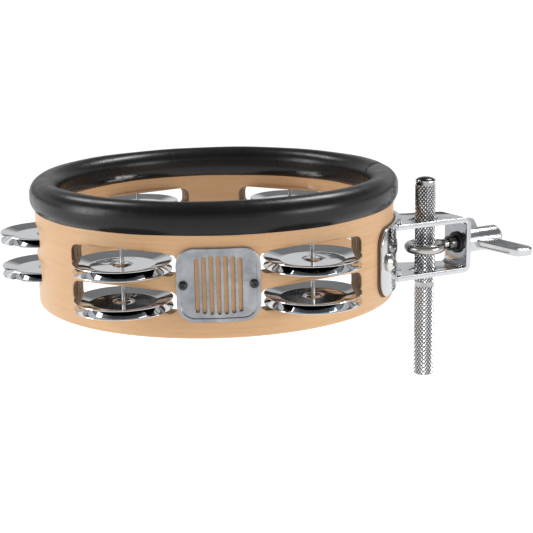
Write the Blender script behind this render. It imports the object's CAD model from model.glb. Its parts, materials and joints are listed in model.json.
"""Looks of the clamped jingle hoop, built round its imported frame.

Shapes are worked out in millimetres in the frame's own axes, and every mesh is stored in metres.
"""
import json
import math

import bmesh
import bpy
from mathutils import Matrix, Vector
from mathutils.geometry import delaunay_2d_cdt


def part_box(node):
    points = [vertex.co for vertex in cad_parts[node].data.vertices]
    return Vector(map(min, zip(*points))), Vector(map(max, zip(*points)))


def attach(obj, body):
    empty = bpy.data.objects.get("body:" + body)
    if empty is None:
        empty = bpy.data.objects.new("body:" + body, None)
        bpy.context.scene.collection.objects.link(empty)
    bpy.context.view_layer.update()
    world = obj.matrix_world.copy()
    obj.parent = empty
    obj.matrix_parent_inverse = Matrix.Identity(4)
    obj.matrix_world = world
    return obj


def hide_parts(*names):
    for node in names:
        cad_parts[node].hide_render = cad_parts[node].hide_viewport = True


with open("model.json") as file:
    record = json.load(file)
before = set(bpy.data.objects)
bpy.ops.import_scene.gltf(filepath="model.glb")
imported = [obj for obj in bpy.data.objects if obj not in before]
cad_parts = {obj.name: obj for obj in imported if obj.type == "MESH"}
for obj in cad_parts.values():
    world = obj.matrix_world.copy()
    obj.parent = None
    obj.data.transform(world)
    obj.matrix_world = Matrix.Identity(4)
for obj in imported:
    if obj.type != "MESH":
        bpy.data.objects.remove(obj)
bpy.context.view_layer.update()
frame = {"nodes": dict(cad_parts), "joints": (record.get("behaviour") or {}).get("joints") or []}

MM = 0.001
PI = math.pi


def node_box(node):
    """The lowest and highest corners of a node's box, in millimetres."""
    low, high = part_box(node)
    return low / MM, high / MM


# ---- driving sizes, from the frame ----

shell_low, shell_high = node_box("shell")
rim_low, rim_high = node_box("rim_tube")
rod_low, rod_high = node_box("mount_rod")
eye_low, eye_high = node_box("eye_bolt")
bracket_low, _ = node_box("clamp_bracket")
saddle_low, saddle_high = node_box("saddle_plate")
badge_low, badge_high = node_box("badge")
disc_low, disc_high = node_box("jingle_left_low_over")

HOOP_X = (shell_low.x + shell_high.x) / 2
SHELL_R = (shell_high.x - shell_low.x) / 2
SHELL_T = 9.0
SHELL_IN = SHELL_R - SHELL_T
PIN_RING_R = SHELL_R - SHELL_T / 2
SHELL_Z = shell_low.z
RIM_Z = (rim_low.z + rim_high.z) / 2
RIM_H = rim_high.z - rim_low.z
RIM_W = 16.4
RIM_R = (rim_high.x - rim_low.x) / 2 - RIM_W / 2
ROD_R = (rod_high.x - rod_low.x) / 2
ROD_LEN = rod_high.z
BOLT_Z = (eye_low.z + eye_high.z) / 2
BRACKET_Z = bracket_low.z
BRACKET_H = 33.0
BADGE_Z = (badge_low.z + badge_high.z) / 2
SADDLE_Z = (saddle_low.z + saddle_high.z) / 2
SADDLE_H = saddle_high.z - saddle_low.z
DISC_R = (disc_high.y - disc_low.y) / 2
DISC_H = disc_high.z - disc_low.z

bolt_axis = [j for j in frame["joints"] if j["name"] == "wing_turn"][0]["axis"]
BOLT_TURN = math.atan2(bolt_axis[1], bolt_axis[0])

# Slots and the places round the hoop, in degrees from its front; the mount has the sixth place
SLOT_W, SLOT_H, SLOT_R = 63.3, 11.5, 4.2
ROWS = {"low": SHELL_Z + 12.8, "high": SHELL_Z + 32.2}
PLACES = {"front_left": -30, "front_right": 30, "left": -90, "back_left": -150, "back_right": 150}
SLOTS = [(turn, floor) for turn in PLACES.values() for floor in ROWS.values()]
MOUNT_TURN = 90


# ---- placing ----

def at_place(turn):
    """From a drawing whose -Y is outward, on the hoop's axis, to a place round the hoop."""
    return Matrix.Translation((HOOP_X, 0, 0)) @ Matrix.Rotation(math.radians(turn), 4, "Z")


def on_hoop(turn, radius, z, roll):
    """From a drawing along +Z to a spot on the hoop, where +Z points outward."""
    spot = at_place(turn) @ Matrix.Translation((0, -radius, z))
    return spot @ Matrix.Rotation(PI / 2, 4, "X") @ Matrix.Rotation(roll, 4, "Z")


def along_bolt(roll=0.0):
    """From a drawing along +Z, from the rod's middle, to the line of the eye bolt."""
    stand = Matrix.Translation((0, 0, BOLT_Z)) @ Matrix.Rotation(BOLT_TURN, 4, "Z")
    return stand @ Matrix.Rotation(PI / 2, 4, "Y") @ Matrix.Rotation(math.radians(roll), 4, "Z")


# ---- mesh helpers ----

def new_object(name, data):
    obj = bpy.data.objects.new(name, data)
    bpy.context.scene.collection.objects.link(obj)
    return obj


def tidy_mesh(mesh, weld=0.002):
    """Joins points that lie together and turns every face outwards."""
    work = bmesh.new()
    work.from_mesh(mesh)
    bmesh.ops.remove_doubles(work, verts=work.verts, dist=weld * MM)
    bmesh.ops.recalc_face_normals(work, faces=work.faces)
    work.to_mesh(mesh)
    work.free()


def smooth(obj, angle=32):
    obj.data.shade_smooth()
    obj.data.set_sharp_from_angle(angle=math.radians(angle))


def add_mesh(name, points, faces, place=None, angle=32):
    """A mesh object from points in millimetres."""
    mesh = bpy.data.meshes.new(name)
    mesh.from_pydata([Vector(p) * MM for p in points], [], faces)
    tidy_mesh(mesh)
    obj = new_object(name, mesh)
    if place is not None:
        put(obj, place)
    smooth(obj, angle)
    return obj


def put(obj, place):
    """Moves a mesh itself, in millimetres, so that its object stays at the origin."""
    obj.data.transform(Matrix.Scale(MM, 4) @ place @ Matrix.Scale(1 / MM, 4))


def freeze(obj):
    """Applies the modifiers of obj to its mesh."""
    seen = bpy.context.evaluated_depsgraph_get()
    seen.update()
    mesh = bpy.data.meshes.new_from_object(obj.evaluated_get(seen))
    obj.modifiers.clear()
    obj.data = mesh


def combine(obj, others, operation):
    """Joins, cuts or intersects obj with the others, which are used up."""
    for other in others:
        step = obj.modifiers.new(operation, "BOOLEAN")
        step.operation = operation
        step.object = other
        step.solver = "EXACT"
        freeze(obj)
        bpy.data.objects.remove(other)


def ease_edges(obj, width, steps=3, angle=30):
    """Rounds the sharp edges of a finished shape."""
    tidy_mesh(obj.data)
    step = obj.modifiers.new("edges", "BEVEL")
    step.width = width * MM
    step.segments = steps
    step.limit_method = "ANGLE"
    step.angle_limit = math.radians(angle)
    step.use_clamp_overlap = True
    freeze(obj)
    smooth(obj, 40)


def rounded(corners, steps=6):
    """A closed outline through (x, y, radius) corners, each turned by an arc of that radius."""
    points = []
    for i, (x, y, radius) in enumerate(corners):
        here = Vector((x, y))
        back = (Vector(corners[i - 1][:2]) - here).normalized()
        on = (Vector(corners[(i + 1) % len(corners)][:2]) - here).normalized()
        if radius <= 0:
            points.append(here)
            continue
        half = back.angle(on) / 2
        centre = here + (back + on).normalized() * radius / math.sin(half)
        start = here + back * radius / math.tan(half) - centre
        end = here + on * radius / math.tan(half) - centre
        first = math.atan2(start.y, start.x)
        sweep = (math.atan2(end.y, end.x) - first + PI) % (2 * PI) - PI
        for k in range(steps + 1):
            a = first + sweep * k / steps
            points.append(centre + Vector((math.cos(a), math.sin(a))) * radius)
    return points


def box_outline(w, h, radius, steps=6, x=0.0):
    """A rectangle with round corners, centred on (x, 0)."""
    signs = ((-1, -1), (1, -1), (1, 1), (-1, 1))
    return rounded([(x + sx * w / 2, sy * h / 2, radius) for sx, sy in signs], steps)


def band(near, far, count):
    """Faces between two closed rings of count points, numbered from near and from far."""
    return [(near + i, near + (i + 1) % count, far + (i + 1) % count, far + i) for i in range(count)]


def lathe(name, outline, segments=96, place=None, angle=32, shape=None):
    """Turns a closed (r, z) outline round Z. shape(turn, r, z) may move a point."""
    points, faces = [], []
    count = len(outline)
    for s in range(segments):
        turn = 2 * PI * s / segments
        for r, z in outline:
            if shape:
                r, z = shape(turn, r, z)
            points.append((r * math.cos(turn), r * math.sin(turn), z))
    for s in range(segments):
        near, far = s * count, (s + 1) % segments * count
        for i in range(count):
            j = (i + 1) % count
            faces.append((near + i, far + i, far + j, near + j))
    return add_mesh(name, points, faces, place, angle)


def plate(name, outlines, thick, edge, steps=3):
    """A flat sheet in XY, centred on Z = 0, with eased edges. The first outline is the outer one."""
    curve = bpy.data.curves.new(name, "CURVE")
    curve.dimensions = "2D"
    curve.fill_mode = "BOTH"
    curve.extrude = (thick / 2 - edge) * MM
    curve.bevel_depth = edge * MM
    curve.offset = -edge * MM
    curve.bevel_resolution = steps
    for outline in outlines:
        spline = curve.splines.new("POLY")
        spline.points.add(len(outline) - 1)
        for point, at in zip(spline.points, outline):
            point.co = (at[0] * MM, at[1] * MM, 0, 1)
        spline.use_cyclic_u = True
    drawn = new_object(name + "_line", curve)
    seen = bpy.context.evaluated_depsgraph_get()
    mesh = bpy.data.meshes.new_from_object(drawn.evaluated_get(seen))
    bpy.data.objects.remove(drawn)
    mesh.materials.clear()
    tidy_mesh(mesh)
    obj = new_object(name, mesh)
    smooth(obj)
    return obj


def solid_plate(name, outline, low, high):
    """A plain prism between two heights, used to add to or cut other shapes."""
    count = len(outline)
    points = [(p[0], p[1], z) for z in (low, high) for p in outline]
    faces = [tuple(range(count))[::-1], tuple(range(count, 2 * count))]
    faces += band(0, count, count)
    return add_mesh(name, points, faces)


def slice_across(obj, pitch):
    """Cuts a sheet along X every pitch, so that it can bend."""
    work = bmesh.new()
    work.from_mesh(obj.data)
    xs = [v.co.x / MM for v in work.verts]
    at = math.floor(min(xs) / pitch) * pitch + pitch
    while at < max(xs):
        everything = work.verts[:] + work.edges[:] + work.faces[:]
        bmesh.ops.bisect_plane(work, geom=everything, plane_co=(at * MM, 0, 0), plane_no=(1, 0, 0))
        at += pitch
    work.to_mesh(obj.data)
    work.free()


def bend_round_hoop(obj, turn, radius, z):
    """Wraps a sheet drawn in XY round the hoop; its Y becomes height and its Z points outward."""
    for v in obj.data.vertices:
        x, y, out = v.co / MM
        a = x / radius
        r = radius + out
        v.co = Vector((r * math.sin(a), -r * math.cos(a), z + y)) * MM
    tidy_mesh(obj.data)
    put(obj, at_place(turn))
    smooth(obj)


def bent_plate(name, outlines, thick, edge, pitch, turn, radius, z):
    """A sheet cut across every pitch and wrapped round the hoop, with its back at that radius."""
    obj = plate(name, outlines, thick, edge)
    slice_across(obj, pitch)
    for v in obj.data.vertices:
        v.co.z += thick / 2 * MM
    bend_round_hoop(obj, turn, radius, z)
    return obj


def cross_head(name, outline, segments, cross, corner, steps, low, high):
    """A screw head turned from outline, with a cross of two bars cut between two heights."""
    screw = lathe(name, outline, segments)
    cuts = [solid_plate("cut", box_outline(w, h, corner, steps), low, high) for w, h in (cross, cross[::-1])]
    combine(screw, cuts, "DIFFERENCE")
    smooth(screw, 30)
    return screw


# ---- material helpers ----

def shade(color, by):
    """A colour made darker or lighter."""
    return tuple(c * by for c in color)


def fill_ramp(node, stops):
    """Gives a colour ramp its (position, colour) stops."""
    elements = node.color_ramp.elements
    while len(elements) < len(stops):
        elements.new(0.5)
    for element, (at, color) in zip(elements, stops):
        element.position = at
        element.color = (*color, 1)


class Paint:
    """A material with short ways to add the nodes that vary its colour, gloss and surface."""

    def __init__(self, name, color, roughness, metallic=0.0):
        self.material = bpy.data.materials.new(name)
        self.material.use_nodes = True
        self.nodes = self.material.node_tree.nodes
        self.links = self.material.node_tree.links
        self.shader = self.nodes["Principled BSDF"]
        self.shader.inputs["Base Color"].default_value = (*color, 1)
        self.shader.inputs["Roughness"].default_value = roughness
        self.shader.inputs["Metallic"].default_value = metallic
        self.material.diffuse_color = (*color, 1)

    def place(self):
        return self.nodes.new("ShaderNodeTexCoord").outputs["Object"]

    def math(self, kind, a, b=0.0):
        node = self.nodes.new("ShaderNodeMath")
        node.operation = kind
        for socket, value in zip(node.inputs, (a, b)):
            if isinstance(value, (int, float)):
                socket.default_value = value
            else:
                self.links.new(value, socket)
        return node.outputs[0]

    def stretch(self, vector, scale):
        node = self.nodes.new("ShaderNodeMapping")
        node.inputs["Scale"].default_value = scale
        self.links.new(vector, node.inputs["Vector"])
        return node.outputs[0]

    def noise(self, vector, scale, detail=3.0, roughness=0.5, warp=0.0):
        """Noise of about scale features to the metre, where scale may differ along each axis."""
        if not isinstance(scale, tuple):
            scale = (scale, scale, scale)
        node = self.nodes.new("ShaderNodeTexNoise")
        node.inputs["Scale"].default_value = 1.0
        node.inputs["Detail"].default_value = detail
        node.inputs["Roughness"].default_value = roughness
        node.inputs["Distortion"].default_value = warp
        self.links.new(self.stretch(vector, scale), node.inputs["Vector"])
        return node.outputs[0]

    def spread(self, value, low, high, out_low, out_high):
        node = self.nodes.new("ShaderNodeMapRange")
        for key, number in (("From Min", low), ("From Max", high), ("To Min", out_low), ("To Max", out_high)):
            node.inputs[key].default_value = number
        self.links.new(value, node.inputs["Value"])
        return node.outputs[0]

    def ramp(self, value, stops):
        node = self.nodes.new("ShaderNodeValToRGB")
        fill_ramp(node, stops)
        self.links.new(value, node.inputs[0])
        return node.outputs[0]

    def mix(self, share, a, b):
        node = self.nodes.new("ShaderNodeMix")
        node.data_type = "RGBA"
        for key, value in ((0, share), (6, a), (7, b)):
            if isinstance(value, (int, float)):
                node.inputs[key].default_value = value
            elif isinstance(value, tuple):
                node.inputs[key].default_value = (*value, 1)
            else:
                self.links.new(value, node.inputs[key])
        return node.outputs[2]

    def color(self, value):
        self.links.new(value, self.shader.inputs["Base Color"])

    def gloss(self, value):
        self.links.new(value, self.shader.inputs["Roughness"])

    def bump(self, value, height, strength=1.0, under=None):
        """A bump that value raises by height millimetres at most."""
        node = self.nodes.new("ShaderNodeBump")
        node.inputs["Strength"].default_value = strength
        node.inputs["Distance"].default_value = height * MM
        self.links.new(value, node.inputs["Height"])
        if under is not None:
            self.links.new(under, node.inputs["Normal"])
        self.links.new(node.outputs[0], self.shader.inputs["Normal"])
        return node.outputs[0]


def round_hoop(paint):
    """Shader coordinates that follow the hoop: distance round it, height, and distance from its axis."""
    shift = paint.nodes.new("ShaderNodeVectorMath")
    shift.operation = "SUBTRACT"
    shift.inputs[1].default_value = (HOOP_X * MM, 0, 0)
    paint.links.new(paint.place(), shift.inputs[0])
    split = paint.nodes.new("ShaderNodeSeparateXYZ")
    paint.links.new(shift.outputs[0], split.inputs[0])
    x, y, z = split.outputs
    # The seam of the angle lies at +X, behind the saddle
    turn = paint.math("ARCTAN2", paint.math("MULTIPLY", y, -1.0), paint.math("MULTIPLY", x, -1.0))
    out = paint.math("SQRT", paint.math("ADD", paint.math("MULTIPLY", x, x), paint.math("MULTIPLY", y, y)))
    join = paint.nodes.new("ShaderNodeCombineXYZ")
    for value, socket in zip((paint.math("MULTIPLY", turn, SHELL_R * MM), z, out), join.inputs):
        paint.links.new(value, socket)
    return join.outputs[0]


# ---- materials ----

def maple(name, light, dark):
    """Lacquered maple: long grain round the hoop, short flecks and a little cloudiness."""
    paint = Paint(name, light, 0.36)
    at = round_hoop(paint)
    grain = paint.noise(at, (22, 420, 160), 5, 0.62, 0.3)
    flecks = paint.noise(at, (210, 2300, 900), 2, 0.5)
    cloud = paint.noise(at, (26, 34, 30), 3, 0.55, 0.4)
    between = tuple(0.5 * (a + b) for a, b in zip(light, dark))
    base = paint.ramp(grain, [(0.3, dark), (0.5, between), (0.72, light)])
    tinted = paint.mix(paint.spread(cloud, 0.35, 0.7, 0.0, 0.5), base, shade(light, 0.86))
    pores = paint.spread(flecks, 0.60, 0.74, 0.0, 0.34)
    paint.color(paint.mix(pores, tinted, shade(dark, 0.66)))
    paint.gloss(paint.spread(grain, 0.3, 0.7, 0.30, 0.44))
    paint.bump(flecks, 0.03, 0.35)
    paint.shader.inputs["Coat Weight"].default_value = 0.1
    paint.shader.inputs["Coat Roughness"].default_value = 0.22
    return paint.material


def slot_wood():
    """The machined ends of the slots, scorched by the cutter so that the plies show as dark lines."""
    paint = Paint("slot_wood", (0.30, 0.18, 0.09), 0.6)
    at = round_hoop(paint)
    plies = paint.noise(at, (60, 70, 1500), 2, 0.5, 0.2)
    scorch = paint.noise(at, (260, 300, 300), 4, 0.6, 0.5)
    burnt, brown, pale = (0.075, 0.042, 0.02), (0.25, 0.15, 0.075), (0.42, 0.29, 0.16)
    black = (0.10, 0.058, 0.028)
    bands = paint.ramp(plies, [(0.36, burnt), (0.5, brown), (0.66, pale)])
    paint.color(paint.mix(paint.spread(scorch, 0.42, 0.68, 0.0, 0.65), bands, black))
    paint.bump(plies, 0.12, 0.6)
    return paint.material


def rim_skin():
    """Satin black skin of the soft tube, with a fine leathery grain and slight pull marks."""
    paint = Paint("rim_skin", (0.018, 0.018, 0.019), 0.4)
    at = round_hoop(paint)
    grain = paint.noise(at, 900, 3, 0.6)
    pull = paint.noise(at, (170, 38, 38), 3, 0.5, 0.6)
    wear = paint.noise(at, 30, 3, 0.5)
    paint.color(paint.ramp(wear, [(0.3, (0.004, 0.004, 0.0043)), (0.7, (0.007, 0.007, 0.0075))]))
    paint.gloss(paint.spread(pull, 0.3, 0.7, 0.25, 0.34))
    low = paint.bump(pull, 0.22, 0.25)
    paint.bump(grain, 0.03, 0.35, low)
    paint.shader.inputs["Specular IOR Level"].default_value = 0.32
    return paint.material


def plated(name, color, low, high, ripple=0.0, scratch=0.0):
    """Bright plating. Roughness wanders from low to high; ripple and scratch are heights in mm."""
    paint = Paint(name, color, (low + high) / 2, 1.0)
    at = paint.place()
    smear = paint.noise(at, 120, 4, 0.6, 0.4)
    paint.gloss(paint.spread(smear, 0.35, 0.7, low, high))
    tone = paint.noise(at, 55, 2)
    paint.color(paint.ramp(tone, [(0.3, shade(color, 0.93)), (0.7, color)]))
    under = None
    if ripple:
        under = paint.bump(paint.noise(at, 75, 2), ripple, 0.6)
    if scratch:
        paint.bump(paint.noise(at, 3200, 2, 0.6), scratch, 0.4, under)
    return paint.material


def knurl_chrome():
    """Plating over the knurl, with the dirt that gathers in the grooves."""
    paint = Paint("rod_chrome", (0.6, 0.61, 0.62), 0.2, 1.0)
    at = paint.place()
    off_axis = paint.nodes.new("ShaderNodeVectorMath")
    off_axis.operation = "LENGTH"
    paint.links.new(paint.stretch(at, (1 / MM, 1 / MM, 0)), off_axis.inputs[0])
    groove, crest = ROD_R - 0.44, ROD_R - 0.1
    height = paint.spread(off_axis.outputs["Value"], groove, crest, 0.0, 1.0)
    dirty, worn, bright = (0.06, 0.06, 0.062), (0.62, 0.63, 0.64), (0.98, 0.98, 0.99)
    paint.color(paint.ramp(height, [(0.0, dirty), (0.35, worn), (1.0, bright)]))
    smear = paint.noise(at, 120, 4, 0.6, 0.4)
    paint.gloss(paint.spread(smear, 0.35, 0.7, 0.14, 0.26))
    return paint.material


def brushed_badge():
    """Cast badge: satin metal with darker tarnish in patches and fine polishing lines."""
    paint = Paint("badge_metal", (0.62, 0.64, 0.67), 0.3, 1.0)
    at = round_hoop(paint)
    lines = paint.noise(at, (300, 4200, 900), 3, 0.6)
    patch = paint.noise(at, 90, 3, 0.6, 0.6)
    paint.color(paint.ramp(patch, [(0.3, (0.24, 0.25, 0.27)), (0.7, (0.42, 0.43, 0.45))]))
    paint.gloss(paint.spread(lines, 0.3, 0.7, 0.24, 0.4))
    paint.bump(lines, 0.03, 0.6)
    return paint.material


def dull(name, color, low, high, grain):
    """Rubber, nylon or blackened steel: soft gloss that varies, and a fine grain."""
    paint = Paint(name, color, (low + high) / 2)
    at = paint.place()
    patch = paint.noise(at, 260, 3)
    paint.gloss(paint.spread(patch, 0.3, 0.7, low, high))
    paint.color(paint.ramp(patch, [(0.3, shade(color, 0.75)), (0.7, shade(color, 1.25))]))
    paint.bump(paint.noise(at, 2200, 2), grain, 0.5)
    return paint.material


MATERIALS = {
    "shell_wood": maple("shell_wood", (0.69, 0.42, 0.215), (0.585, 0.33, 0.15)),
    "slot_wood": slot_wood(),
    "rim_rubber": rim_skin(),
    "badge_metal": brushed_badge(),
    "black_steel": dull("black_steel", (0.02, 0.02, 0.021), 0.25, 0.4, 0.02),
    "gasket_rubber": dull("gasket_rubber", (0.11, 0.07, 0.045), 0.55, 0.75, 0.05),
    "bracket_chrome": plated("bracket_chrome", (0.58, 0.59, 0.61), 0.07, 0.16, ripple=0.05),
    "nickel_screw": plated("nickel_screw", (0.70, 0.67, 0.62), 0.14, 0.28, scratch=0.01),
    "black_nylon": dull("black_nylon", (0.012, 0.012, 0.013), 0.3, 0.45, 0.03),
    "bolt_steel": plated("bolt_steel", (0.50, 0.48, 0.45), 0.12, 0.26, ripple=0.06, scratch=0.006),
    "cast_chrome": plated("cast_chrome", (0.58, 0.59, 0.60), 0.16, 0.3, ripple=0.08, scratch=0.01),
    "rod_chrome": knurl_chrome(),
    "pin_steel": plated("pin_steel", (0.52, 0.51, 0.50), 0.25, 0.4, scratch=0.006),
    "jingle_chrome": plated("jingle_chrome", (0.76, 0.77, 0.78), 0.03, 0.07, ripple=0.14),
}


def finish_piece(obj, body, slot, *nodes):
    """Gives a finished piece its material, the body it rides on and the CAD nodes it stands for."""
    if not obj.data.materials:
        obj.data.materials.append(MATERIALS[slot])
    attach(obj, body)
    if nodes:
        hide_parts(*nodes)


# ---- wooden shell ----

SHELL_STEPS, SHELL_ROWS = 240, 14


def shell_face(radius, grow, low, high):
    """Points and triangles of the shell's outer or inner face, with the slots left open."""
    pitch = 2 * PI / SHELL_STEPS
    start = math.radians(MOUNT_TURN)
    in_row = SHELL_STEPS + 1
    clear = 0.8  # how far the face's own points stay from a slot
    rows = [low + (high - low) * k / SHELL_ROWS for k in range(SHELL_ROWS + 1)]
    flat, edges = [], []
    for row in rows:
        flat += [(start + pitch * i, row) for i in range(in_row)]
    for first in (0, SHELL_ROWS * in_row):
        edges += [(first + i, first + i + 1) for i in range(SHELL_STEPS)]
    holes = [slot_ring(turn, floor, radius, grow, start) for turn, floor in SLOTS]
    keep = [p for p in flat if p[1] in (low, high) or not in_slot(p, radius, grow + clear)]
    number = {p: i for i, p in enumerate(keep)}
    edges = [(number[flat[a]], number[flat[b]]) for a, b in edges]
    for hole in holes:
        base = len(keep)
        keep += hole
        edges += [(base + i, base + (i + 1) % len(hole)) for i in range(len(hole))]
    laid = [Vector((a * radius, z)) for a, z in keep]
    laid, _, faces, _, _, _ = delaunay_2d_cdt(laid, edges, [], 0, 1e-5)
    kept = []
    for face in faces:
        middle = sum((laid[i] for i in face), Vector((0, 0))) / len(face)
        if not in_slot((middle.x / radius, middle.y), radius, grow):
            kept.append(face)
    points = [hoop_point(p.x / radius, radius, p.y) for p in laid]
    return points, kept


def hoop_point(angle, radius, z):
    """A point on the hoop, at an angle from its front."""
    return (HOOP_X + radius * math.sin(angle), -radius * math.cos(angle), z)


def slot_ring(turn, floor, radius, grow, start=0.0):
    """The edge of a slot, as (angle, height), where it meets a cylinder of that radius."""
    ring = []
    for p in box_outline(SLOT_W + 2 * grow, SLOT_H + 2 * grow, SLOT_R + grow, 8):
        angle = math.radians(turn) + math.asin(p.x / radius)
        ring.append(((angle - start) % (2 * PI) + start, floor + SLOT_H / 2 + p.y))
    return ring


def in_slot(point, radius, grow):
    """Whether an (angle, height) point lies inside any slot, enlarged by grow."""
    angle, z = point
    for turn in PLACES.values():
        away = (angle - math.radians(turn) + PI) % (2 * PI) - PI
        if abs(away) > PI / 4:
            continue
        x = abs(radius * math.sin(away)) - (SLOT_W / 2 - SLOT_R)
        for floor in ROWS.values():
            y = abs(z - floor - SLOT_H / 2) - (SLOT_H / 2 - SLOT_R)
            if math.hypot(max(x, 0), max(y, 0)) + min(max(x, y), 0) < SLOT_R + grow - 0.001:
                return True
    return False


def wooden_shell():
    """Two faces, the walls of the slots and the two rims, joined by eased edges."""
    ease = 0.5
    low, high = SHELL_Z, shell_high.z
    # How the eased edge goes from a face of the shell into a wall: (depth, growth) pairs
    edge = [(ease * (1 - math.sin(a)), ease * (1 - math.cos(a))) for a in (PI / 2, PI / 3, PI / 6, 0)]
    profile = [(SHELL_R - d, g) for d, g in edge] + [(SHELL_IN + d, g) for d, g in edge[::-1]]
    points, faces, walls = [], [], []

    def add(new_points, new_faces, is_wall=False):
        base = len(points)
        points.extend(new_points)
        faces.extend(tuple(i + base for i in face) for face in new_faces)
        walls.extend([is_wall] * len(new_faces))

    for radius in (SHELL_R, SHELL_IN):
        add(*shell_face(radius, ease, low + ease, high - ease))
    for turn, floor in SLOTS:
        for (r1, g1), (r2, g2) in zip(profile, profile[1:]):
            near = [hoop_point(a, r1, z) for a, z in slot_ring(turn, floor, r1, g1)]
            far = [hoop_point(a, r2, z) for a, z in slot_ring(turn, floor, r2, g2)]
            add(near + far, band(0, len(near), len(near)), abs(r1 - r2) > ease)
    turns = [math.radians(MOUNT_TURN) + 2 * PI * i / SHELL_STEPS for i in range(SHELL_STEPS)]
    for side, end in ((-1, low), (1, high)):
        for (r1, g1), (r2, g2) in zip(profile, profile[1:]):
            near = [hoop_point(a, r1, end - side * g1) for a in turns]
            far = [hoop_point(a, r2, end - side * g2) for a in turns]
            add(near + far, band(0, SHELL_STEPS, SHELL_STEPS))
    mesh = bpy.data.meshes.new("wooden_shell")
    mesh.from_pydata([Vector(p) * MM for p in points], [], faces)
    mesh.materials.append(MATERIALS["shell_wood"])
    mesh.materials.append(MATERIALS["slot_wood"])
    mesh.polygons.foreach_set("material_index", [int(w) for w in walls])
    tidy_mesh(mesh, 0.01)
    obj = new_object("wooden_shell", mesh)
    smooth(obj, 30)
    finish_piece(obj, "hoop", "shell_wood", "shell")


# ---- soft rim ----

def soft_rim():
    """The tube is closed by one butt seam beside the mount, and grips the shell with two lips."""
    side = RIM_W / 2
    lift = RIM_H / 2 - side
    throat = SHELL_T / 2 + 0.15
    grip_top = shell_high.z - RIM_Z
    inner, outer = PIN_RING_R - RIM_R - throat, PIN_RING_R - RIM_R + throat
    steps = 40
    half_turn = [PI * k / steps for k in range(steps + 1)]
    outline = [(side * math.cos(a), lift + side * math.sin(a)) for a in half_turn]
    under = [(-side * math.cos(a), -lift - side * math.sin(a)) for a in half_turn[1:-1]]
    inner_z, outer_z = (-lift - math.sqrt(side ** 2 - x ** 2) for x in (inner, outer))
    # the lips turn in to the shell, and the groove holds its top edge
    lip_w, lip_low, lip_high, spare = 0.35, 0.12, 0.7, 0.5
    outline += [p for p in under if p[0] < inner - spare]
    outline += [(inner - lip_w, inner_z + lip_low), (inner, inner_z + lip_high), (inner, grip_top),
                (outer, grip_top), (outer, outer_z + lip_high), (outer + lip_w, outer_z + lip_low)]
    outline += [p for p in under if p[0] > outer + spare]
    outline = [(RIM_R + x, RIM_Z + z) for x, z in outline]
    seam_turn, seam_skew = math.radians(7), 0.03
    groove_w, groove_d = 0.5, 0.55
    hollow_w, hollow_d = 5.0, 0.12
    below_size = 0.16

    def pull_in(turn, r, z):
        skew = (z - RIM_Z) / RIM_H * seam_skew
        away = abs((turn - seam_turn - skew + PI) % (2 * PI) - PI) * RIM_R
        depth = groove_d * math.exp(-(away / groove_w) ** 2) + hollow_d * math.exp(-(away / hollow_w) ** 2)
        middle = Vector((RIM_R, RIM_Z))
        out = Vector((r, z)) - middle
        if out.length < side - 1.0:
            return r, z
        wave = 0.10 * math.sin(5 * turn + 1.0) + 0.06 * math.sin(13 * turn + 2.4)
        out *= (out.length - depth - below_size + wave) / out.length
        return middle.x + out.x, middle.y + out.y

    obj = lathe("soft_rim", outline, 720, Matrix.Translation((HOOP_X, 0, 0)), 40, pull_in)
    finish_piece(obj, "hoop", "rim_rubber", "rim_tube")


# ---- jingles ----

def jingle_mesh():
    """One spun jingle, back of its pan on Z = 0 and brim turned up."""
    sheet = 0.6
    hole, boss, pan = 1.5, 6.0, 16.4
    boss_h, boss_slope = 0.9, 2.0
    knee, brim_w = 1.1, DISC_R - pan
    slope = (DISC_H - sheet) / brim_w

    def ease(t):
        t = min(max(t, 0), 1)
        return t * t * (3 - 2 * t)

    def height(r):
        """The raised boss in the middle, and the brim, which curves up at its knee."""
        boss_up = boss_h * (1 - ease((r - boss + 2.4) / boss_slope))
        over = max(r - pan, 0)
        if over < knee:
            return boss_up + slope * over ** 2 / (2 * knee)
        return boss_up + slope * (over - knee / 2 + knee / 2 * (over - knee) / (brim_w - knee))

    radii = [hole + 0.1, 2.4, 3.4, 3.8, 4.2, 4.6, 5.0, 5.4, 5.8, 7.5, 11, 14.5, 16.2, 16.7, 17.2, 17.7]
    radii += [19.5, 21.5, 23.5, DISC_R - 0.35]
    top = [(r, height(r) + sheet) for r in radii]
    under = [(r, height(r)) for r in radii[::-1]]
    end = height(DISC_R - 0.35)
    tip = [(DISC_R - 0.08, end + sheet - 0.08), (DISC_R, end + sheet / 2), (DISC_R - 0.08, end + 0.1)]
    inner = [(hole, boss_h + 0.12), (hole, boss_h + sheet - 0.12)]
    disc = lathe("jingle_form", top + tip + under + inner, 144, None, 28)
    mesh = disc.data
    bpy.data.objects.remove(disc)
    mesh.materials.append(MATERIALS["jingle_chrome"])
    return mesh


def jingles():
    """Two to a slot with the backs of their pans together, each a quarter turn on from the last."""
    shared = jingle_mesh()
    order = 0
    for place in PLACES:
        for row in ROWS:
            for side in ("under", "over"):
                node = f"jingle_{place}_{row}_{side}"
                low, high = node_box(node)
                obj = new_object(f"cymbal_{place}_{row}_{side}", shared)
                where = Vector((low.x + high.x, low.y + high.y, 0)) / 2
                back, flip = (low.z, 0) if side == "over" else (high.z, PI)
                spot = Matrix.Translation((where.x * MM, where.y * MM, back * MM))
                quarter = Matrix.Rotation(PI / 2 * order, 4, "Z")
                obj.matrix_world = spot @ quarter @ Matrix.Rotation(flip, 4, "X")
                finish_piece(obj, node, "jingle_chrome", node)
                order += 1


# ---- badge ----

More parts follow.
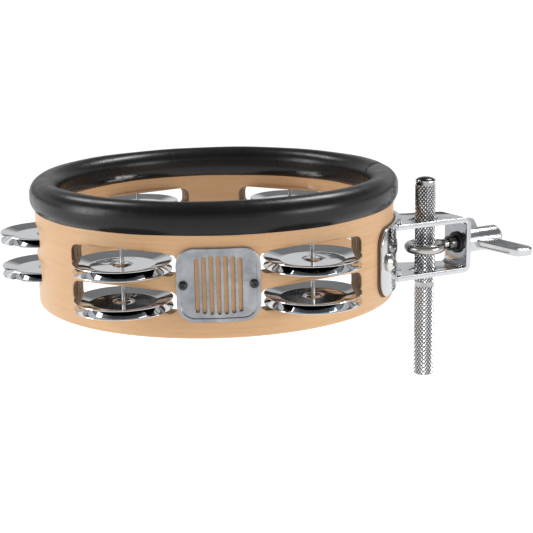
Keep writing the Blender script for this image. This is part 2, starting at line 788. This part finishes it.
def badge():
    """A plain openwork grille: an upright bar pattern in a rounded frame, with a raised border."""
    w, h, corner = 42.0, 38.0, 9
    bars, side_margins, end_margins, taper = 7, 17, 8, 1.55
    thick, border_thick, border_w = 1.3, 1.8, 2.2
    pitch = (w - side_margins) / bars
    openings = []
    for k in range(bars):
        x = (k - (bars - 1) / 2) * pitch
        tall = (h - end_margins) * math.sqrt(1 - (taper * x / w) ** 2)
        openings.append(box_outline(pitch * 0.62, tall, pitch * 0.3, 5, x))
    outer = box_outline(w, h, corner, 10)
    inner = box_outline(w - 2 * border_w, h - 2 * border_w, corner - border_w, 10)
    sheet = bent_plate("grille_badge", [outer] + openings, thick, 0.3, 1.0, 0, SHELL_R, BADGE_Z)
    border = bent_plate("badge_border", [outer, inner], border_thick, 0.5, 1.0, 0, SHELL_R, BADGE_Z)
    finish_piece(sheet, "hoop", "badge_metal", "badge")
    finish_piece(border, "hoop", "badge_metal")
    head = rounded([(0, -0.6, 0), (2.3, -0.6, 0), (2.3, 0.35, 0.3), (1.6, 1.35, 0.6), (0, 1.5, 0)], 4)
    screw_x, roll = 17.5, 0.6
    for side, name in ((-1, "left"), (1, "right")):
        turn = math.degrees(math.asin(side * screw_x / SHELL_R))
        screw = cross_head("badge_screw_" + name, head, 48, (1.8, 0.56), 0.1, 1, 0.7, 3)
        put(screw, on_hoop(turn, SHELL_R + border_thick, BADGE_Z, roll * side))
        finish_piece(screw, "hoop", "black_steel", *(["badge_screws"] if side < 0 else []))


# ---- saddle ----

SADDLE_HALF = math.radians(32)
SADDLE_SCREW = 26.5
GASKET_T, SADDLE_T = 0.8, 1.8
SADDLE_OUT = SHELL_R + GASKET_T + SADDLE_T


def saddle():
    """The curved plate on its thin pad, with a screw at each end."""
    for name, slot, node, inner, thick, grow, edge in (
            ("saddle_pad", "gasket_rubber", "saddle_gasket", SHELL_R, GASKET_T, 0.45, 0.2),
            ("saddle_sheet", "bracket_chrome", "saddle_plate", SHELL_R + GASKET_T, SADDLE_T, 0.0, 0.6)):
        w = 2 * (SHELL_R * SADDLE_HALF + grow)
        outline = box_outline(w, SADDLE_H + 2 * grow, 10, 14)
        obj = bent_plate(name, [outline], thick, edge, 1.5, MOUNT_TURN, inner, SADDLE_Z)
        finish_piece(obj, "hoop", slot, node)
    head = rounded([(0, 0, 0), (5, 0, 0.1), (5, 1.3, 0.6), (2.9, 3, 1.6), (0, 3, 0)], 5)
    for side, name in ((-1, "front"), (1, "back")):
        screw = cross_head("saddle_screw_" + name, head, 72, (5.2, 1.2), 0.3, 2, 1.5, 6)
        put(screw, on_hoop(MOUNT_TURN + side * SADDLE_SCREW, SADDLE_OUT, SADDLE_Z, 0.5))
        finish_piece(screw, "hoop", "nickel_screw", *(["saddle_screws"] if side < 0 else []))
        saddle_nut(side, name)


def saddle_nut(side, name):
    """Washer, chamfered nut and the end of the screw inside the shell."""
    washer_r, washer_t, corner_r, top, bolt_r = 6, 1, 4.62, 4.9, 2.5
    flat = SHELL_IN * math.cos(math.asin(washer_r / SHELL_IN))
    place = (at_place(MOUNT_TURN + side * SADDLE_SCREW) @ Matrix.Translation((0, -flat, SADDLE_Z))
             @ Matrix.Rotation(-PI / 2, 4, "X"))
    ring = rounded([(2.6, -0.3, 0), (washer_r, -0.3, 0), (washer_r, washer_t, 0.2), (2.6, washer_t, 0.1)], 3)
    washer = lathe("nut_washer_" + name, ring, 64)
    hexagon = [(corner_r * math.cos(k * PI / 3), corner_r * math.sin(k * PI / 3)) for k in range(6)]
    nut = solid_plate("nut_" + name, hexagon, washer_t, top)
    cone = rounded([(0, 0.8, 0), (4.75, 0.8, 0), (4.75, 4.2, 0), (3.9, top, 0), (0, top, 0)], 2)
    combine(nut, [lathe("cone", cone, 64)], "INTERSECT")
    thread = screw_thread(bolt_r, 0.5, 5.2, 5.4)
    bolt_end = lathe("nut_bolt_" + name, [(0, 0), (bolt_r, 0)] + thread + [(0, 5.4)], 48)
    for obj in (washer, nut, bolt_end):
        put(obj, place)
        smooth(obj, 25)
    finish_piece(washer, "hoop", "nickel_screw", *(["saddle_nuts"] if side < 0 else []))
    finish_piece(nut, "hoop", "nickel_screw")
    finish_piece(bolt_end, "hoop", "nickel_screw")


def screw_thread(radius, low, high, end):
    """Outline of a threaded stretch, as rings, with a chamfered end."""
    pitch, depth = 0.8, 0.42
    outline = []
    z = low
    while z < high - pitch:
        outline += [(radius, z), (radius - depth, z + pitch / 2)]
        z += pitch
    return outline + [(radius - 0.1, high - 0.3), (radius - 0.5, end)]


# ---- clamp bracket ----

WALL_OUT, BRACKET_T, FOLD_R = 26.0, 3.0, 5.0
WALL_IN = WALL_OUT - BRACKET_T
BORE_R = 2.98


def hoop_arc(radius, turns):
    """Points on a circle round the hoop's axis, at angles from +X."""
    return [(HOOP_X + radius * math.cos(a), radius * math.sin(a)) for a in turns]


def bracket():
    """A strip folded into a U whose wall is square to the bolt, tapered from the saddle."""
    half = BRACKET_H / 2
    inner = half - BRACKET_T
    # the folded strip starts longer and wider than it ends up
    back, blank_half = -45, 60
    u_shape = rounded([
        (back, -half, 0), (WALL_OUT, -half, FOLD_R), (WALL_OUT, half, FOLD_R), (back, half, 0),
        (back, inner, 0), (WALL_IN, inner, FOLD_R - BRACKET_T), (WALL_IN, -inner, FOLD_R - BRACKET_T),
        (back, -inner, 0)], 8)
    body = solid_plate("bracket_body", u_shape, -blank_half, blank_half)
    stand = Matrix.Translation((0, 0, BOLT_Z)) @ Matrix.Rotation(BOLT_TURN, 4, "Z")
    put(body, stand @ Matrix.Rotation(PI / 2, 4, "X"))
    tidy_mesh(body.data)

    wall_front, wall_rear, root_x, root_half, over = 10, 10.5, -22, 18.5, 4
    along = Vector((math.cos(BOLT_TURN), math.sin(BOLT_TURN)))
    across = Vector((math.sin(BOLT_TURN), -math.cos(BOLT_TURN)))
    front, rear = WALL_OUT * along + wall_front * across, WALL_OUT * along - wall_rear * across
    plan = [Vector((root_x, -root_half)), front, front + over * along, rear + over * along, rear,
            Vector((root_x, root_half))]
    combine(body, [solid_plate("plan", plan, BRACKET_Z - 5, BRACKET_Z + BRACKET_H + 5)], "INTERSECT")

    # a lip stands up along each plate's edge at the saddle
    tabs = []
    tab_turn, tab_gap, tab_x, tab_half, tab_steps = math.radians(7.6), 2.2, -20, 13.9, 8
    turns = [tab_turn * (k - tab_steps) / tab_steps for k in range(2 * tab_steps + 1)]
    arc = hoop_arc(SADDLE_OUT + tab_gap, turns)
    for low in (BRACKET_Z + 0.5, BRACKET_Z + BRACKET_H - BRACKET_T + 0.5):
        outline = arc + [(tab_x, tab_half), (tab_x, -tab_half)]
        tabs.append(solid_plate("tab", outline, low, low + BRACKET_T + 2.5))
    combine(body, tabs, "UNION")

    below, above = 40, 130
    round_hoop_side = hoop_arc(SADDLE_OUT + 0.02, [2 * PI * k / 360 for k in range(360)])
    cuts = [solid_plate("hoop_side", round_hoop_side, below, above)]
    seat, reach, wide, shift = ROD_R + 0.05, math.radians(52), 7.3, 1.9
    tip = seat / math.sin(reach)
    knee = (seat - wide * math.cos(reach)) / math.sin(reach)
    window = rounded([(tip, 0, 0.5), (knee, wide, 0.8), (-knee - shift, wide, 0.8), (-tip - shift, 0, 0.5),
                      (-knee - shift, -wide, 0.8), (knee, -wide, 0.8)], 3)
    cuts.append(solid_plate("window", window, below, above))
    hole_r, past = 4.4, 3
    hole = [(0, WALL_IN - past), (hole_r, WALL_IN - past), (hole_r, WALL_OUT + past), (0, WALL_OUT + past)]
    cuts.append(lathe("hole", hole, 64, along_bolt()))
    combine(body, cuts, "DIFFERENCE")
    body.name = "folded_bracket"
    ease_edges(body, 0.7, 4, 35)
    finish_piece(body, "hoop", "bracket_chrome", "clamp_bracket")


def bolt_dress():
    """Bush, collar and washer on the eye bolt."""
    bore = BORE_R
    flange = WALL_IN - 1.4
    bush = rounded([(bore, flange, 0.2), (6.3, flange, 0.5), (6.3, WALL_IN, 0.1), (4.35, WALL_IN, 0),
                    (4.35, WALL_OUT, 0.1), (bore, WALL_OUT, 0.1)], 4)
    finish_piece(lathe("bolt_liner", bush, 80, along_bolt()), "hoop", "black_nylon", "bolt_bush")
    start = flange - 5.6
    collar = rounded([(bore, start, 0.15), (3.9, start, 0.5), (4.4, start + 1.1, 0.5), (4.4, flange, 0.3),
                      (bore, flange, 0.1)], 4)
    sleeve = lathe("bolt_sleeve", collar, 80, along_bolt())
    sleeve.data.materials.append(plated("sleeve_steel", (0.15, 0.145, 0.14), 0.2, 0.36, scratch=0.01))
    finish_piece(sleeve, "hoop", "bolt_steel", "bolt_collar")
    washer = rounded([(bore, WALL_OUT, 0.1), (7, WALL_OUT, 0.3), (7, WALL_OUT + 1.3, 0.4),
                      (bore, WALL_OUT + 1.3, 0.15)], 3)
    finish_piece(lathe("wall_washer", washer, 80, along_bolt()), "hoop", "bolt_steel", "bolt_washer")


# ---- eye bolt, wing nut and rod ----

BAR_R, BOLT_END = 2.9, 51.5
RING_R = ROD_R + 0.2 + BAR_R


def eye_bolt():
    """A bar bent into a ring; its end meets the shank at a welded joint."""
    turns = [2 * PI * k / 40 for k in range(40)]
    circle = [(RING_R + BAR_R * math.cos(a), BAR_R * math.sin(a)) for a in turns]
    weld_turn, weld_w, weld_d = BOLT_TURN - 0.62, 0.5, 0.09

    def joint(turn, r, z):
        away = abs((turn - weld_turn + PI) % (2 * PI) - PI) * RING_R
        shrink = 1 - weld_d * math.exp(-(away / weld_w) ** 2)
        return RING_R + (r - RING_R) * shrink, z * shrink

    ring = lathe("eye_ring", circle, 180, Matrix.Translation((0, 0, BOLT_Z)), 40, joint)
    thread = screw_thread(BAR_R, 32, BOLT_END - 0.5, BOLT_END)
    neck = rounded([(3.4, RING_R + 0.4, 0), (BAR_R, RING_R + 4, 1.5), (BAR_R, 30, 0)], 4)
    shank = [(0, RING_R)] + neck + thread + [(0, BOLT_END)]
    finish_piece(ring, "eye", "bolt_steel", "eye_bolt")
    finish_piece(lathe("eye_shank", shank, 64, along_bolt()), "eye", "bolt_steel")


def wing_nut():
    """A cast nut with two flat wings, each with a sunk panel in its edge that faces the wall."""
    start = WALL_OUT + 1.5
    barrel_r, barrel_len, span, thick = 7.2, 26.0, 61.0, 4.8
    half = span / 2
    wing_roll = 98
    place = along_bolt(wing_roll) @ Matrix.Translation((0, 0, start))
    barrel = rounded([(0, 0, 0), (barrel_r, 0, 0.5), (barrel_r, barrel_len - 2.5, 1.0),
                      (5.2, barrel_len, 0.6), (0, barrel_len, 0)], 5)
    body = lathe("wing_body", barrel, 96)
    sunk = barrel_r - 2.2
    wing = [(sunk, 4, 0), (half - 4, 15.5, 2.5), (half - 1, 17.5, 2.0), (half, 25, 3.0),
            (half - 0.8, 28, 1.0), (half - 4, 29, 2.0), (sunk, 17, 0)]
    for side in (1, -1):
        outline = [(side * x, y, r) for x, y, r in wing]
        obj = plate("wing", [rounded(outline, 6)], thick, 0.9)
        put(obj, Matrix.Rotation(PI / 2, 4, "X"))
        root, tip = Vector((barrel_r + 1.5, 6.1)), Vector((half - 5, 14.9))
        slope = math.atan2(tip.y - root.y, tip.x - root.x)
        middle = (root + tip) / 2
        panel = plate("panel", [box_outline((tip - root).length, thick - 2.2, 0.5, 3)], 1.6, 0.15, 1)
        spot = Matrix.Translation((side * middle.x, 0, middle.y))
        put(panel, spot @ Matrix.Rotation(-side * slope, 4, "Y"))
        combine(obj, [panel], "DIFFERENCE")
        combine(body, [obj], "UNION")
    bore = [(0, -2), (BORE_R, -2), (BORE_R, barrel_len + 2), (0, barrel_len + 2)]
    combine(body, [lathe("bore", bore, 64)], "DIFFERENCE")
    tidy_mesh(body.data)
    put(body, place)
    body.name = "cast_wing_nut"
    smooth(body, 30)
    finish_piece(body, "wing", "cast_chrome", "wing_nut")


def knurled(low, high, around, pitch, depth):
    """Rows of points and faces of a diamond knurl: pyramids between two sets of crossing grooves."""
    rows = 2 * round((high - low) / pitch)
    step = (high - low) / rows
    columns = 2 * around
    points, faces = [], []
    for j in range(rows + 1):
        for i in range(columns):
            r = ROD_R - (0.0 if (i + j) % 2 == 0 else depth)
            turn = 2 * PI * i / columns
            points.append((r * math.cos(turn), r * math.sin(turn), low + j * step))
    for j in range(rows):
        for i in range(columns):
            a, b = j * columns + i, j * columns + (i + 1) % columns
            c, d = b + columns, a + columns
            faces += [(a, b, d), (b, c, d)] if (i + j) % 2 == 0 else [(a, b, c), (a, c, d)]
    return points, faces, columns


def cap_ring(points, faces, columns, base, radius, z):
    """Adds a ring of points that the ring starting at base is joined to."""
    start = len(points)
    turns = [2 * PI * i / columns for i in range(columns)]
    points += [(radius * math.cos(a), radius * math.sin(a), z) for a in turns]
    faces += band(base, start, columns)
    return start


def knurled_rod():
    """Two knurled lengths with a smooth band under the clamp, a turned groove and a domed top."""
    around, pitch, depth = 18, 2.5, 0.5
    neck, dome_r = ROD_R - 0.35, ROD_R - 0.1
    dome_z, dome_h = ROD_LEN - 2.5, 2.5
    low_end, band_end, top_end = 53.6, 56.6, ROD_LEN - 4.7
    points, faces, columns = knurled(0.7, low_end, around, pitch, depth)
    last = len(points) - columns
    bottom = cap_ring(points, faces, columns, 0, ROD_R - 0.7, 0.0)
    cap_ring(points, faces, columns, bottom, 0.0, 0.0)
    for radius, z in ((neck, low_end + 0.2), (neck, band_end - 0.2)):
        last = cap_ring(points, faces, columns, last, radius, z)
    more, more_faces, _ = knurled(band_end, top_end, around, pitch, depth)
    base = len(points)
    points += more
    faces += [tuple(i + base for i in face) for face in more_faces]
    faces += band(last, base, columns)
    last = len(points) - columns
    for radius, z in ((neck, top_end + 0.15), (neck, ROD_LEN - 2.9), (dome_r, dome_z - 0.1)):
        last = cap_ring(points, faces, columns, last, radius, z)
    dome_steps = 8
    for k in range(dome_steps + 1):
        a = PI / 2 * k / dome_steps
        last = cap_ring(points, faces, columns, last, dome_r * math.cos(a), dome_z + dome_h * math.sin(a))
    obj = add_mesh("knurled_rod", points, faces, None, 20)
    finish_piece(obj, "post", "rod_chrome", "mount_rod")


# ---- what stays as the frame has it ----

def carried_over():
    """The jingle pins keep the frame's own shape, in steel."""
    for place in PLACES:
        obj = frame["nodes"][f"jingle_pin_{place}"]
        obj.data.materials.clear()
        obj.data.materials.append(MATERIALS["pin_steel"])


# ---- room ----

def camera():
    """The view, looking a little down and to the right at the hoop's front."""
    heading, down, roll = math.radians(2.74), math.radians(13.5), math.radians(-1.06)
    place = Vector((HOOP_X * MM - 0.0047, -0.7, 0.2359))
    forward = Vector((math.sin(heading) * math.cos(down), math.cos(heading) * math.cos(down),
                      -math.sin(down)))
    level = Vector((math.cos(heading), -math.sin(heading), 0))
    right = level * math.cos(roll) + level.cross(forward) * math.sin(roll)
    turn = Matrix((right, right.cross(forward), -forward)).transposed().to_4x4()
    data = bpy.data.cameras.new("view")
    data.sensor_width = 36
    data.lens = 83.88
    data.clip_start = 0.01
    obj = new_object("view", data)
    obj.matrix_world = Matrix.Translation(place) @ turn
    bpy.context.scene.camera = obj


def area_light(name, place, aim, width, height, power):
    light = bpy.data.lights.new(name, "AREA")
    light.shape = "RECTANGLE"
    light.size, light.size_y = width, height
    light.energy = power
    obj = new_object(name, light)
    obj.location = place
    obj.rotation_euler = (Vector(aim) - Vector(place)).to_track_quat("-Z", "Y").to_euler()


def room():
    """A glowing white table under two overhead boxes and two low side boxes."""
    size, floor_z = 40, -0.16
    corners = [(x, y, floor_z) for x, y in ((-size, -size), (size, -size), (size, size), (-size, size))]
    mesh = bpy.data.meshes.new("floor")
    mesh.from_pydata(corners, [], [(0, 1, 2, 3)])
    floor = new_object("floor", mesh)
    paint = Paint("floor_paint", (0.3, 0.3, 0.3), 0.9)
    mottle = paint.noise(paint.place(), 3.0, 2)
    paint.color(paint.ramp(mottle, [(0.3, (0.29, 0.29, 0.29)), (0.7, (0.31, 0.31, 0.31))]))
    paint.shader.inputs["Emission Color"].default_value = (1, 1, 1, 1)
    paint.shader.inputs["Emission Strength"].default_value = 0.93
    mesh.materials.append(paint.material)
    aim = (HOOP_X * MM, 0, 0.09)
    area_light("over_left", (-0.74, 0.48, 1.02), aim, 0.26, 0.4, 4)
    area_light("over_right", (0.42, 0.42, 1.10), aim, 0.3, 0.4, 8)
    area_light("left_side", (-1.30, -0.22, 0.34), aim, 0.4, 0.7, 6.5)
    area_light("right_side", (0.88, -0.66, 0.28), aim, 0.6, 0.3, 4.8)
    sky()


def sky():
    """Grey studio walls, darkest near the horizon, for the plating to reflect."""
    world = bpy.data.worlds.new("studio")
    world.use_nodes = True
    nodes, links = world.node_tree.nodes, world.node_tree.links
    out = nodes["Background"]
    where = nodes.new("ShaderNodeTexCoord")
    split = nodes.new("ShaderNodeSeparateXYZ")
    links.new(where.outputs["Generated"], split.inputs[0])
    ramp = nodes.new("ShaderNodeValToRGB")
    # from straight down to straight up: floor, dark band at the horizon, bright walls, dimmer ceiling
    greys = [(0.0, 0.9), (0.49, 0.9), (0.50, 0.10), (0.53, 0.08),
             (0.555, 0.95), (0.65, 1.0), (0.72, 0.28), (1.0, 0.38)]
    fill_ramp(ramp, [(at, (grey, grey * 1.005, grey * 1.02)) for at, grey in greys])
    shift = nodes.new("ShaderNodeMapRange")
    shift.inputs["From Min"].default_value = -1.0
    links.new(split.outputs[2], shift.inputs["Value"])
    links.new(shift.outputs[0], ramp.inputs[0])
    links.new(ramp.outputs[0], out.inputs["Color"])
    out.inputs["Strength"].default_value = 0.7
    bpy.context.scene.world = world


camera()
wooden_shell()
soft_rim()
jingles()
badge()
saddle()
bracket()
bolt_dress()
eye_bolt()
wing_nut()
knurled_rod()
carried_over()
room()
bpy.context.scene.view_settings.view_transform = "Standard"
